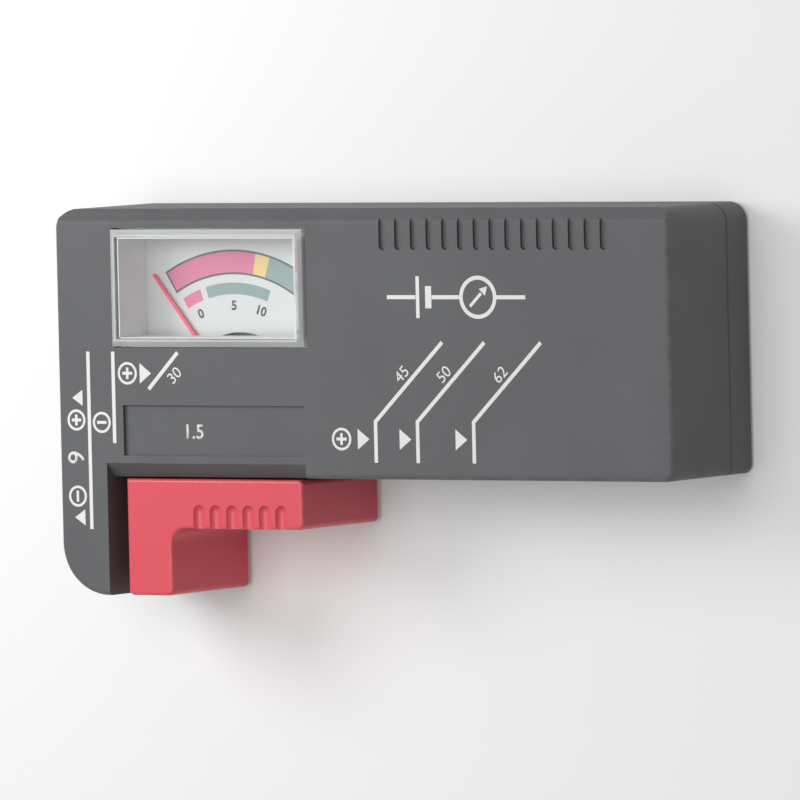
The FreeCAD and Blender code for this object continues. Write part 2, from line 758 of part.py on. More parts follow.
group("dial_screws", [tiny_screw("dial_screw", *post, "dial_front") for post in DIAL_POSTS])
group("bridge_screws", [tiny_screw("bridge_screw", *post, "bridge_front") for post in BRIDGE_POSTS])

# Fixed magnet parts, drawn about the pivot.
yoke = new_body("yoke_ring")
disc(yoke, "0", "0", "yoke_r", "case_floor", "loop_front")
disc(yoke, "0", "0", "yoke_in", "case_floor", "loop_front", cut=True)
place(yoke, "meter_x", "pivot_y")

core = new_body("core_magnet")
disc(core, "0", "0", "core_r", "core_back", "core_front")
place(core, "meter_x", "pivot_y")

ring_blank = doc.addObject("Part::Cylinder", "spacer_blank")
ring_blank.setExpression("Radius", expr("yoke_in"))
ring_bore = doc.addObject("Part::Cylinder", "spacer_bore")
ring_bore.setExpression("Radius", expr("core_r"))
bar_blank = doc.addObject("Part::Box", "spacer_bar")
bar_blank.setExpression("Length", expr("spacer_w"))
bar_blank.setExpression("Width", expr("2 * yoke_r"))
bar_blank.setExpression("Placement.Base.x", expr("-spacer_w / 2"))
bar_blank.setExpression("Placement.Base.y", expr("-yoke_r"))
for blank in (ring_blank, ring_bore, bar_blank):
    blank.setExpression("Height", expr("core_front - core_back - 2 * spacer_inset"))
    blank.setExpression("Placement.Base.z", expr("core_back + spacer_inset"))
ring = doc.addObject("Part::Cut", "spacer_ring")
ring.Base = ring_blank
ring.Tool = ring_bore
spacers = doc.addObject("Part::Common", "core_spacers")
spacers.Label = "core_spacers"
spacers.Base = ring
spacers.Tool = bar_blank
place(spacers, "meter_x", "pivot_y")
nodes.append(spacers)

bridge = new_body("bearing_bridge")
block(bridge, "-post_x - bridge_over", "post_x + bridge_over", "-bridge_w / 2", "bridge_w / 2",
      "bridge_back", "bridge_front")
disc(bridge, "0", "0", "bearing_r + bearing_gap", "bridge_back", "bridge_front", cut=True)
for side in ("-", ""):
    disc(bridge, f"{side}post_x", "0", "tiny_r + tiny_gap", "bridge_back", "bridge_front", cut=True)
place(bridge, "meter_x", "pivot_y")

front_bearing = new_body("front_bearing_screw")
disc(front_bearing, "0", "0", "bearing_r", "front_seat", "bridge_front + bearing_out")
disc(front_bearing, "0", "0", "staff_r + staff_play", "front_seat", "front_seat + recess_d", cut=True)
place(front_bearing, "meter_x", "pivot_y")

rear_bearing = new_body("rear_bearing_screw")
disc(rear_bearing, "0", "0", "bearing_r", "hub_back - bearing_out", "rear_seat")
disc(rear_bearing, "0", "0", "staff_r + staff_play", "rear_seat - recess_d", "rear_seat", cut=True)
place(rear_bearing, "meter_x", "pivot_y")

# Moving coil, drawn about the pivot with the pointer straight up and turned to its rest.
ROTOR = ("meter_x", "pivot_y", "rest_angle")


def coil_loop(label, outer, inner):
    """A rectangular hoop round the core; outer and inner are its margins from the coil's outside."""
    body = new_body(label)
    for margin, cut in ((outer, False), (inner, True)):
        prism(body, [(f"-(coil_half - {margin})", f"coil_back + {margin}"),
                     (f"coil_half - {margin}", f"coil_back + {margin}"),
                     (f"coil_half - {margin}", f"coil_front - {margin}"),
                     (f"-(coil_half - {margin})", f"coil_front - {margin}")],
              "-coil_w / 2", "coil_w / 2", cut=cut, plane="XZ")
    place(body, *ROTOR)


coil_loop("coil_winding", "0", "winding_t")
coil_loop("coil_former", "winding_t", "(winding_t + former_t)")

front_staff = new_body("front_staff")
disc(front_staff, "0", "0", "collet_r", "coil_front", "coil_front + collet_h")
disc(front_staff, "0", "0", "staff_r", "coil_front + collet_h", "front_seat + recess_d - end_play")
place(front_staff, *ROTOR)

rear_staff = new_body("rear_staff")
disc(rear_staff, "0", "0", "collet_r", "coil_back - coil_gap + end_play", "coil_back")
disc(rear_staff, "0", "0", "staff_r", "rear_seat - recess_d + end_play", "coil_back - coil_gap + end_play")
place(rear_staff, *ROTOR)

pointer = new_body("pointer")
disc(pointer, "0", "0", "hub_r", "pointer_front - hub_h", "pointer_front")
prism(pointer, [("-pointer_root_w / 2", "0"), ("pointer_root_w / 2", "0"),
                ("pointer_tip_w / 2", "pointer_l"), ("-pointer_tip_w / 2", "pointer_l")],
      "pointer_back", "pointer_front")
block(pointer, "-pointer_root_w / 2", "pointer_root_w / 2", "-tail_l", "0", "pointer_back", "pointer_front")
block(pointer, "-tail_w / 2", "tail_w / 2", "-tail_l", "-tail_l + tail_w / 2", "pointer_back", "pointer_front")
disc(pointer, "0", "0", "staff_r", "pointer_front - hub_h", "pointer_front", cut=True)
place(pointer, *ROTOR)


def spiral_arcs(first_r, count, step):
    """Half-turn arcs of a flat spiral, joined on two centres half a step apart."""
    arcs = []
    radius = first_r
    centre = 0.0
    for index in range(count):
        side = 1 if index % 2 == 0 else -1
        start = Vector(centre + side * radius, 0, 0)
        middle = Vector(centre, side * radius, 0)
        finish = Vector(centre - side * radius, 0, 0)
        arcs.append(Part.Arc(start, middle, finish).toShape())
        radius += step / 2
        centre += side * step / 2
    return arcs


def hairspring(label, height):
    """A flat strip wound round the collet; its formula is a half-turn spiral of steady pitch."""
    first_r = number("collet_r + spring_gap")
    thick = number("spring_t")
    halves = 2 * int(number("spring_turns"))
    inner = spiral_arcs(first_r, halves, number("spring_pitch"))
    outer = spiral_arcs(first_r + thick, halves, number("spring_pitch"))
    ends = [Part.makeLine(inner[0].Vertexes[0].Point, outer[0].Vertexes[0].Point),
            Part.makeLine(inner[-1].Vertexes[-1].Point, outer[-1].Vertexes[-1].Point)]
    edges = Part.sortEdges(inner + outer + ends)[0]
    feature = doc.addObject("Part::Feature", label)
    feature.Label = label
    feature.Shape = Part.Face(Part.Wire(edges)).extrude(Vector(0, 0, number("spring_h")))
    feature.Placement.Base = Vector(number("meter_x"), number("pivot_y"), number(height))
    nodes.append(feature)
    print(label, "gap between turns", round(number("spring_pitch") - thick, 3))


hairspring("front_hairspring", "coil_front + spring_gap")
hairspring("rear_hairspring", "case_floor + (coil_gap - spring_h) / 2")

board = new_body("circuit_board")
block(board, "board_left", "board_right", "board_low", "board_top", "board_back", "board_front")
for across, up in BOARD_POSTS:
    disc(board, across, up, "tiny_r + tiny_gap", "board_back", "board_front", cut=True)
group("board_screws", [tiny_screw("board_screw", *post, "board_front") for post in BOARD_POSTS])


def resistor(up):
    """An axial resistor standing on its two bent wires."""
    body = new_body("load_resistor")
    axis_z = "board_front + resistor_lift + resistor_r"
    reach = "resistor_l / 2 + resistor_wire_l"
    disc(body, up, axis_z, "resistor_r", "board_mid_x - resistor_l / 2", "board_mid_x + resistor_l / 2",
         plane="YZ")
    disc(body, up, axis_z, "resistor_wire_r", f"board_mid_x - ({reach})", f"board_mid_x + {reach}",
         plane="YZ")
    for side in ("-", "+"):
        disc(body, f"board_mid_x {side} ({reach} - resistor_wire_r)", up, "resistor_wire_r",
             "board_front", axis_z)
    return body


group("load_resistors", [
    resistor(f"board_mid_y + ({index} - (resistor_count - 1) / 2) * resistor_pitch")
    for index in range(int(number("resistor_count")))])


def lead(label, points):
    """An insulated wire along straight runs joined by tangent arcs."""
    route = [Vector(*(number(value) for value in point)) for point in points]
    edges = []
    start = route[0]
    for before, corner, after in zip(route, route[1:], route[2:]):
        back = (before - corner).normalize()
        ahead = (after - corner).normalize()
        half_turn = (math.pi - back.getAngle(ahead)) / 2
        reach = 0.45 * min((before - corner).Length, (after - corner).Length)
        centre_way = (back + ahead).normalize()
        radius = reach / math.tan(half_turn)
        middle = corner + centre_way * (radius / math.cos(half_turn) - radius)
        edges.append(Part.makeLine(start, corner + back * reach))
        edges.append(Part.Arc(corner + back * reach, middle, corner + ahead * reach).toShape())
        start = corner + ahead * reach
    edges.append(Part.makeLine(start, route[-1]))
    path = Part.Wire(edges)
    rim = Part.makeCircle(number("lead_r"), route[0], route[1] - route[0])
    feature = doc.addObject("Part::Feature", label)
    feature.Label = label
    feature.Shape = path.makePipeShell([Part.Wire([rim])], True, True)
    nodes.append(feature)
    return feature


EDGE_Z = "board_back + board_t / 2"
FLANGE = "nine_in + strip_t"
FLANGE_Z = "nine_z - nine_w / 2 + nine_gap - nine_flange / 2"
LINK_Y = "nine_minus_y + nine_h / 4"
LUG_Y = "plate_top + lug_h - 1.2"
LUG_Z = "tab_back + tab_w / 2"


def to_board(up):
    """Last stretch of a lead: under the meter's right side and square into the board's left edge."""
    return [("cover_right - 4", f"{up} - 0.4", "wall + 2.5"), ("board_left - 3", up, EDGE_Z),
            ("board_left", up, EDGE_Z)]


lead("negative_lead", [
    ("lug_right", LUG_Y, LUG_Z), ("lug_right + 2.4", LUG_Y, LUG_Z),
    ("cover_left - 1.4", "rail_top + 2.3", "split_z + 0.5"),
    ("cover_left + 2.9", "pivot_y + 1.7", "wall + 2.3"), ("meter_x + 3", "pivot_y + 4.4", "wall + 2.1"),
    *to_board("board_low + 1.8")])
lead("nine_volt_lead", [
    (FLANGE, "nine_plus_y", FLANGE_Z), (f"{FLANGE} + 3.1", "nine_plus_y", FLANGE_Z),
    ("cover_left - 2.6", "pivot_y + 2.2", "split_z - 0.5"),
    ("cover_left + 3.9", "pivot_y + 6.7", "wall + 2.3"), ("meter_x + 4", "pivot_y + 8.4", "wall + 2.1"),
    *to_board("board_low + 5.6")])
lead("nine_volt_link", [(FLANGE, LINK_Y, FLANGE_Z), ("lug_right - strip_t", LINK_Y, FLANGE_Z)])
lead("rail_lead", [("board_mid_x", "rail_top", EDGE_Z), ("board_mid_x", "board_low", EDGE_Z)])
group("meter_leads", [
    lead("meter_lead", [
        (*TERMINALS[1], "case_back - terminal_l"), (*TERMINALS[1], "case_back - terminal_l - 2.2"),
        *to_board("board_low + 9.6")]),
    lead("meter_lead", [
        (*TERMINALS[0], "case_back - terminal_l"), (*TERMINALS[0], "case_back - terminal_l - 2.4"),
        ("meter_x - 3", "pivot_y + 14", "wall + 2.6"), ("meter_x + 7", "pivot_y + 15.6", "wall + 2.5"),
        *to_board("board_low + 13.4")])])

doc.recompute()
for item in doc.Objects:
    if "Invalid" in item.State or "Error" in item.State:
        raise RuntimeError(f"{item.Label} did not rebuild: {item.State}")
for item in nodes:
    if item.Shape.isNull() or not item.Shape.isValid() or not item.Shape.Solids:
        raise RuntimeError(f"{item.Label} has no valid solid")

os.makedirs("parts", exist_ok=True)
for item in nodes:
    item.Shape.exportStep(f"parts/{item.Label}.step")
    print(item.Label, len(item.Shape.Solids), round(item.Shape.Volume, 2))
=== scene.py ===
"""Looks of the flat battery tester: finishes, face and dial print, label, light and camera."""
import json
import math
import bmesh
import bpy
from mathutils import Matrix, Vector


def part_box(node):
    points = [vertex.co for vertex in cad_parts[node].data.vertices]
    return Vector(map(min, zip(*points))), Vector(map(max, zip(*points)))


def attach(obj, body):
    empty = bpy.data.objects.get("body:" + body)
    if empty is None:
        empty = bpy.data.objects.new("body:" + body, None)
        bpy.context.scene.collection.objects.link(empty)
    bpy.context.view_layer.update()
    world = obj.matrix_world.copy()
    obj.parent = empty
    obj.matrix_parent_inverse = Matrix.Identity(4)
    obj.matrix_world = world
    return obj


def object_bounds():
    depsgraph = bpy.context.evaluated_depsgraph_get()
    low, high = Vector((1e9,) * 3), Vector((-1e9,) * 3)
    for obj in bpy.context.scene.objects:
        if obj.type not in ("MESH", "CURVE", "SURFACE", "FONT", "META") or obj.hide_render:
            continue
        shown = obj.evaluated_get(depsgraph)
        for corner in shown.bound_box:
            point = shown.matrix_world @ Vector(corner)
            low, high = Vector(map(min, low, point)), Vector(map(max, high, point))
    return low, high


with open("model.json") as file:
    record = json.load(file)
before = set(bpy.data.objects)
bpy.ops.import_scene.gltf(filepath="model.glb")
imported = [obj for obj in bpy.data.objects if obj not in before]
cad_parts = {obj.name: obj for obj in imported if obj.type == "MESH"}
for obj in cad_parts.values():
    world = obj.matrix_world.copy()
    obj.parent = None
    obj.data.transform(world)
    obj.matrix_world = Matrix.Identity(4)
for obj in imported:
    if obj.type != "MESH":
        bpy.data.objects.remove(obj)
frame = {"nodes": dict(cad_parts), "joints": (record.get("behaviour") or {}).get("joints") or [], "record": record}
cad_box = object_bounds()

MM = 0.001
UP = Vector((0, 0, 1))

# Places read from the frame
MIDDLE = (cad_box[0] + cad_box[1]) / 2
shell_low, shell_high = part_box("front_shell")
resistor_low, resistor_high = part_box("load_resistors")
FACE_Z = shell_high.z
DIAL_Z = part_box("dial_plate")[1].z
BACK_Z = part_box("rear_shell")[0].z
pointer_joint = next(joint for joint in frame["joints"] if joint["name"] == "pointer_turn")
pivot = Vector(pointer_joint["pos_m"])

# Raised part of the clear cover
WINDOW_LOW = Vector((-44.3 * MM, 8.75 * MM, 0))
WINDOW_HIGH = Vector((-9.5 * MM, 26.85 * MM, 0))
COVER_WALL = 1.2 * MM


def srgb(red, green, blue):
    """A colour given in screen values from 0 to 255, as the shader's linear colour."""
    def linear(value):
        share = value / 255
        return share / 12.92 if share <= 0.04045 else ((share + 0.055) / 1.055) ** 2.4
    return (linear(red), linear(green), linear(blue), 1.0)


# Colours of the pieces
CASE_GREY = srgb(95, 96, 98)
ARM_RED = srgb(226, 78, 92)
CLEAR = srgb(250, 252, 252)
# Pale haze painted on the clear cover's walls as painted light
PAINTED_WALL_LIGHT = srgb(234, 236, 238)
MOULDED_WHITE = srgb(228, 227, 221)
DIAL_WHITE = srgb(212, 214, 213)
LINING_WHITE = srgb(240, 241, 241)
NEEDLE_RED = srgb(246, 74, 112)
NICKEL = srgb(214, 209, 199)
ZINC = srgb(190, 192, 196)
BRASS = srgb(214, 180, 104)
IRON = srgb(96, 97, 100)
FERRITE = srgb(62, 62, 65)
ALUMINIUM = srgb(214, 214, 216)
COPPER = srgb(196, 106, 62)
BRONZE = srgb(186, 138, 82)
MASK_GREEN = srgb(28, 96, 58)
TRACE_GREEN = srgb(52, 134, 84)
RESISTOR_TAN = srgb(214, 190, 148)
BAND_BROWN = srgb(96, 52, 26)
BAND_BLACK = srgb(24, 24, 24)
BAND_RED = srgb(196, 40, 34)
BAND_GOLD = srgb(204, 160, 70)
TINNED = srgb(200, 200, 204)
WIRE_BLACK = srgb(34, 34, 36)
WIRE_RED = srgb(178, 34, 36)
PRINT_WHITE = srgb(236, 236, 233)
PRINT_DARK = srgb(74, 82, 82)
PRINT_PINK = srgb(214, 116, 152)
PRINT_YELLOW = srgb(230, 202, 132)
PRINT_GREEN = srgb(132, 154, 152)
LABEL_GREY = srgb(196, 198, 200)
FLOOR_WHITE = srgb(240, 240, 240)


# Shader tools
def add(tree, kind, **settings):
    node = tree.nodes.new("ShaderNode" + kind)
    for name, value in settings.items():
        setattr(node, name, value)
    return node


def feed(tree, value, socket):
    """Link a socket to another socket, or set it to a fixed value."""
    if isinstance(value, bpy.types.NodeSocket):
        tree.links.new(value, socket)
    else:
        socket.default_value = value


def new_group(name, inputs, outputs):
    """An empty shader group with named sockets, and its two end nodes."""
    tree = bpy.data.node_groups.new(name, "ShaderNodeTree")
    for direction, sockets in (("INPUT", inputs), ("OUTPUT", outputs)):
        for socket, kind in sockets.items():
            tree.interface.new_socket(socket, in_out=direction, socket_type="NodeSocket" + kind)
    entry = tree.nodes.new("NodeGroupInput")
    leave = tree.nodes.new("NodeGroupOutput")
    return tree, entry, leave


def spread(tree, value, source, target):
    """Map a value from the source range to the target range."""
    remap = add(tree, "MapRange")
    feed(tree, value, remap.inputs["Value"])
    for name, end in zip(("From Min", "From Max", "To Min", "To Max"), (*source, *target)):
        feed(tree, end, remap.inputs[name])
    return remap.outputs["Result"]


def calculate(tree, operation, *values):
    node = add(tree, "Math", operation=operation)
    for value, socket in zip(values, node.inputs):
        feed(tree, value, socket)
    return node.outputs["Value"]


def noise(tree, place, scale, detail):
    node = add(tree, "TexNoise")
    for name, value in (("Vector", place), ("Scale", scale), ("Detail", detail)):
        feed(tree, value, node.inputs[name])
    return node.outputs["Fac"]


def shade(tree, colour, share):
    """The colour made darker or lighter by a share near 1."""
    node = add(tree, "VectorMath", operation="SCALE")
    feed(tree, colour, node.inputs["Vector"])
    feed(tree, share, node.inputs["Scale"])
    return node.outputs["Vector"]


def mix_colour(tree, share, first, second):
    node = add(tree, "Mix", data_type="RGBA")
    feed(tree, share, node.inputs["Factor"])
    colour_inputs = [socket for socket in node.inputs if socket.type == "RGBA"]
    for value, socket in zip((first, second), colour_inputs):
        feed(tree, value, socket)
    return next(socket for socket in node.outputs if socket.type == "RGBA")


def raise_grain(tree, height, depth):
    bump = add(tree, "Bump")
    feed(tree, height, bump.inputs["Height"])
    feed(tree, depth, bump.inputs["Distance"])
    return bump.outputs["Normal"]


# Range that most values of a noise fall in
NOISE_RANGE = (0.3, 0.7)


# Shared effects
def moulded_grain():
    """Fine even grain of a moulded or printed surface, with slow shifts of tone."""
    tree, entry, leave = new_group(
        "moulded_grain",
        {"Color": "Color", "Tone Shift": "Float", "Rough Low": "Float", "Rough High": "Float",
         "Grain Scale": "Float", "Grain Depth": "Float"},
        {"Color": "Color", "Roughness": "Float", "Normal": "Vector"})
    place = add(tree, "TexCoord").outputs["Object"]
    fine = noise(tree, place, entry.outputs["Grain Scale"], detail=2.0)
    slow = noise(tree, place, scale=70.0, detail=3.0)
    darker = calculate(tree, "SUBTRACT", 1.0, entry.outputs["Tone Shift"])
    lighter = calculate(tree, "ADD", 1.0, entry.outputs["Tone Shift"])
    tone = spread(tree, slow, NOISE_RANGE, (darker, lighter))
    fleck = spread(tree, fine, (0.25, 0.75), (darker, lighter))
    both = calculate(tree, "MULTIPLY", tone, fleck)
    feed(tree, shade(tree, entry.outputs["Color"], both), leave.inputs["Color"])
    roughness = (entry.outputs["Rough Low"], entry.outputs["Rough High"])
    feed(tree, spread(tree, fine, NOISE_RANGE, roughness), leave.inputs["Roughness"])
    feed(tree, raise_grain(tree, fine, entry.outputs["Grain Depth"]), leave.inputs["Normal"])
    return tree


def rolled_metal():
    """Drawn or rolled metal: streaks along the axis with the smallest streak scale."""
    tree, entry, leave = new_group(
        "rolled_metal",
        {"Color": "Color", "Streaks": "Vector", "Tone Shift": "Float", "Rough Low": "Float",
         "Rough High": "Float", "Grain Depth": "Float"},
        {"Color": "Color", "Roughness": "Float", "Normal": "Vector"})
    place = add(tree, "TexCoord").outputs["Object"]
    stretch = add(tree, "VectorMath", operation="MULTIPLY")
    feed(tree, place, stretch.inputs[0])
    feed(tree, entry.outputs["Streaks"], stretch.inputs[1])
    streak = noise(tree, stretch.outputs["Vector"], scale=1.0, detail=3.0)
    tarnish = noise(tree, place, scale=180.0, detail=4.0)
    darker = calculate(tree, "SUBTRACT", 1.0, entry.outputs["Tone Shift"])
    tone = spread(tree, tarnish, (0.35, 0.6), (darker, 1.0))
    feed(tree, shade(tree, entry.outputs["Color"], tone), leave.inputs["Color"])
    roughness = (entry.outputs["Rough Low"], entry.outputs["Rough High"])
    feed(tree, spread(tree, streak, NOISE_RANGE, roughness), leave.inputs["Roughness"])
    feed(tree, raise_grain(tree, streak, entry.outputs["Grain Depth"]), leave.inputs["Normal"])
    return tree


# Upright share of the normal on a bevel of 45 degrees
BEVEL_UPRIGHT = math.sqrt(0.5)


def rubbed_edges():
    """Mask of the rounded edges, without the broad bevels, broken up as handling rubs them."""
    tree, entry, leave = new_group("rubbed_edges", {"Amount": "Float"}, {"Mask": "Float"})
    normal = add(tree, "NewGeometry").outputs["Normal"]
    turned = add(tree, "VectorTransform", vector_type="NORMAL", convert_from="WORLD",
                 convert_to="OBJECT")
    feed(tree, normal, turned.inputs["Vector"])
    parts = add(tree, "SeparateXYZ")
    feed(tree, turned.outputs["Vector"], parts.inputs["Vector"])
    upright = calculate(tree, "ABSOLUTE", parts.outputs["Z"])
    away_from_face = spread(tree, upright, (0.99, 0.85), (0.0, 1.0))
    away_from_side = spread(tree, upright, (0.05, 0.3), (0.0, 1.0))
    edge = calculate(tree, "MULTIPLY", away_from_face, away_from_side)
    beside_bevel = calculate(tree, "ABSOLUTE", calculate(tree, "SUBTRACT", upright, BEVEL_UPRIGHT))
    away_from_bevel = spread(tree, beside_bevel, (0.002, 0.01), (0.0, 1.0))
    edge = calculate(tree, "MULTIPLY", edge, away_from_bevel)
    place = add(tree, "TexCoord").outputs["Object"]
    broken = spread(tree, noise(tree, place, scale=420.0, detail=4.0), (0.4, 0.65), (0.15, 1.0))
    worn = calculate(tree, "MULTIPLY", edge, broken)
    feed(tree, calculate(tree, "MULTIPLY", worn, entry.outputs["Amount"]), leave.inputs["Mask"])
    return tree


GRAIN = moulded_grain()
METAL = rolled_metal()
EDGES = rubbed_edges()


def new_material(name):
    material = bpy.data.materials.new(name)
    material.use_nodes = True
    tree = material.node_tree
    return material, tree, tree.nodes["Principled BSDF"]


def use_group(tree, group, values):
    node = add(tree, "Group", node_tree=group)
    for name, value in values.items():
        node.inputs[name].default_value = value
    return node


def feed_surface(tree, surface, source, colour=None):
    feed(tree, colour or source.outputs["Color"], surface.inputs["Base Color"])
    feed(tree, source.outputs["Roughness"], surface.inputs["Roughness"])
    feed(tree, source.outputs["Normal"], surface.inputs["Normal"])


def plastic(name, colour, rough, grain_mm, depth_mm, tone, edge_lift=0.0, gloss=0.5):
    """Moulded plastic or dried ink; edge_lift lightens its rubbed edges."""
    material, tree, surface = new_material(name)
    surface.inputs["Specular IOR Level"].default_value = gloss
    grain = use_group(tree, GRAIN, {
        "Color": colour, "Tone Shift": tone, "Rough Low": rough[0], "Rough High": rough[1],
        "Grain Scale": 1 / (grain_mm * MM), "Grain Depth": depth_mm * MM})
    shown = grain.outputs["Color"]
    if edge_lift:
        edges = use_group(tree, EDGES, {"Amount": edge_lift})
        shown = mix_colour(tree, edges.outputs["Mask"], shown, PRINT_WHITE)
    feed_surface(tree, surface, grain, shown)
    return material


def metal(name, colour, rough, streaks, depth_mm=0.002, tone=0.08):
    material, tree, surface = new_material(name)
    source = use_group(tree, METAL, {
        "Color": colour, "Streaks": streaks, "Tone Shift": tone, "Rough Low": rough[0],
        "Rough High": rough[1], "Grain Depth": depth_mm * MM})
    feed_surface(tree, surface, source)
    surface.inputs["Metallic"].default_value = 1.0
    return material


# Share of painted light on the cover's walls: a pale haze standing in for the light the clear walls pipe
WALL_LIGHT_SHARE = 0.55
EDGE_BLUR = 0.1 * MM
COVER_IOR = 1.49


def painted_light_mask(tree, place):
    """Mask of the clear cover's walls, where a pale haze of painted light makes a frame round its pane."""
    middle = (WINDOW_LOW + WINDOW_HIGH) / 2
    pane = (WINDOW_HIGH - WINDOW_LOW) / 2 - Vector((COVER_WALL, COVER_WALL, 0))
    parts = add(tree, "SeparateXYZ")
    feed(tree, place, parts.inputs["Vector"])
    beyond = []
    for axis, centre, half in zip("XY", middle, pane):
        aside = calculate(tree, "SUBTRACT", parts.outputs[axis], centre)
        beyond.append(calculate(tree, "SUBTRACT", calculate(tree, "ABSOLUTE", aside), half))
    furthest = calculate(tree, "MAXIMUM", *beyond)
    return spread(tree, furthest, (0.0, EDGE_BLUR), (0.0, WALL_LIGHT_SHARE))


def clear_cover(name):
    """Polished clear plastic with faint handling marks; its walls carry painted light, a pale haze in place of the
    light that clear walls pipe; lamps shine through it.
    """
    material, tree, surface = new_material(name)
    place = add(tree, "TexCoord").outputs["Object"]
    marks = noise(tree, place, scale=900.0, detail=5.0)
    feed(tree, spread(tree, marks, (0.5, 0.75), (0.01, 0.06)), surface.inputs["Roughness"])
    surface.inputs["Base Color"].default_value = CLEAR
    surface.inputs["Transmission Weight"].default_value = 1.0
    surface.inputs["IOR"].default_value = COVER_IOR
    # Painted light: a pale matt haze laid over the walls
    painted_wall_light = add(tree, "BsdfPrincipled")
    painted_wall_light.inputs["Base Color"].default_value = PAINTED_WALL_LIGHT
    painted_wall_light.inputs["Roughness"].default_value = 0.3
    walls = add(tree, "MixShader")
    feed(tree, painted_light_mask(tree, place), walls.inputs["Fac"])
    feed(tree, surface.outputs["BSDF"], walls.inputs[1])
    feed(tree, painted_wall_light.outputs["BSDF"], walls.inputs[2])
    ray = add(tree, "LightPath")
    lighting = calculate(tree, "MAXIMUM", ray.outputs["Is Shadow Ray"], ray.outputs["Is Diffuse Ray"])
    open_to_light = add(tree, "BsdfTransparent")
    either = add(tree, "MixShader")
    feed(tree, lighting, either.inputs["Fac"])
    feed(tree, walls.outputs["Shader"], either.inputs[1])
    feed(tree, open_to_light.outputs["BSDF"], either.inputs[2])
    feed(tree, either.outputs["Shader"], tree.nodes["Material Output"].inputs["Surface"])
    return material


COIL_SLANT = math.radians(37.5)
WIRE_RELIEF = 0.04 * MM
# Painted shade: share of the copper's brightness left in the gaps between turns
GAP_SHADE = 0.45


def wound_copper(name):
    """Enamelled wire: its turns lie side by side across the coil, which rests at a slant; the gaps between turns
    carry painted shade.
    """
    material, tree, surface = new_material(name)
    place = add(tree, "Mapping", vector_type="TEXTURE")
    feed(tree, add(tree, "TexCoord").outputs["Object"], place.inputs["Vector"])
    place.inputs["Rotation"].default_value = (0, 0, COIL_SLANT)
    wave = add(tree, "TexWave", bands_direction="Y")
    feed(tree, place.outputs["Vector"], wave.inputs["Vector"])
    wave.inputs["Scale"].default_value = 1200.0
    wave.inputs["Distortion"].default_value = 0.4
    turns = wave.outputs["Fac"]
    feed(tree, raise_grain(tree, turns, WIRE_RELIEF), surface.inputs["Normal"])
    # Painted shade in the gaps between turns: the copper darkened where the turns meet
    painted_gap_shade = tuple(value * GAP_SHADE for value in COPPER[:3]) + (1.0,)
    feed(tree, mix_colour(tree, turns, painted_gap_shade, COPPER), surface.inputs["Base Color"])
    surface.inputs["Metallic"].default_value = 1.0
    surface.inputs["Roughness"].default_value = 0.32
    return material


TRACK_RELIEF = 0.03 * MM


def laminate(name):
    """Green solder mask over copper tracks."""
    material, tree, surface = new_material(name)
    place = add(tree, "TexCoord").outputs["Object"]
    cells = add(tree, "TexVoronoi", feature="DISTANCE_TO_EDGE", distance="CHEBYCHEV")
    feed(tree, place, cells.inputs["Vector"])
    cells.inputs["Scale"].default_value = 320.0
    cells.inputs["Randomness"].default_value = 0.6
    tracks = spread(tree, cells.outputs["Distance"], (0.10, 0.14), (1.0, 0.0))
    feed(tree, mix_colour(tree, tracks, MASK_GREEN, TRACE_GREEN), surface.inputs["Base Color"])
    feed(tree, raise_grain(tree, tracks, TRACK_RELIEF), surface.inputs["Normal"])
    fine = noise(tree, place, scale=900.0, detail=2.0)
    feed(tree, spread(tree, fine, NOISE_RANGE, (0.22, 0.36)), surface.inputs["Roughness"])
    return material


# Each colour of a resistor starts at a share of its length; the tinned ends are wire
BODY_HALF = 0.33
RESISTOR_BANDS = [
    (0.0, TINNED), (0.5 - BODY_HALF, RESISTOR_TAN), (0.27, BAND_BROWN), (0.34, RESISTOR_TAN),
    (0.40, BAND_BLACK), (0.47, RESISTOR_TAN), (0.53, BAND_RED), (0.60, RESISTOR_TAN),
    (0.70, BAND_GOLD), (0.77, RESISTOR_TAN), (0.5 + BODY_HALF, TINNED),
]


def banded_resistor(name):
    """Tan body with colour bands along X; beyond the body the same node is tinned wire."""
    material, tree, surface = new_material(name)
    place = add(tree, "TexCoord").outputs["Object"]
    parts = add(tree, "SeparateXYZ")
    feed(tree, place, parts.inputs["Vector"])
    along = spread(tree, parts.outputs["X"], (resistor_low.x, resistor_high.x), (0.0, 1.0))
    bands = add(tree, "ValToRGB")
    ramp = bands.color_ramp
    ramp.interpolation = "CONSTANT"
    for index, (position, colour) in enumerate(RESISTOR_BANDS):
        ready = index < len(ramp.elements)
        stop = ramp.elements[index] if ready else ramp.elements.new(position)
        stop.position = position
        stop.color = colour
    feed(tree, along, bands.inputs["Fac"])
    feed(tree, bands.outputs["Color"], surface.inputs["Base Color"])
    from_middle = calculate(tree, "ABSOLUTE", calculate(tree, "SUBTRACT", along, 0.5))
    wire = calculate(tree, "GREATER_THAN", from_middle, BODY_HALF)
    feed(tree, wire, surface.inputs["Metallic"])
    fine = noise(tree, place, scale=1500.0, detail=2.0)
    feed(tree, spread(tree, fine, NOISE_RANGE, (0.3, 0.45)), surface.inputs["Roughness"])
    return material


# Streak scales of the metals, in streaks per metre along each axis
ALONG_X = (150.0, 5000.0, 5000.0)
ALONG_Y = (5000.0, 150.0, 5000.0)
ALONG_Z = (5000.0, 5000.0, 150.0)
TURNED = (2500.0, 2500.0, 9000.0)
CAST = (2500.0, 2500.0, 2500.0)

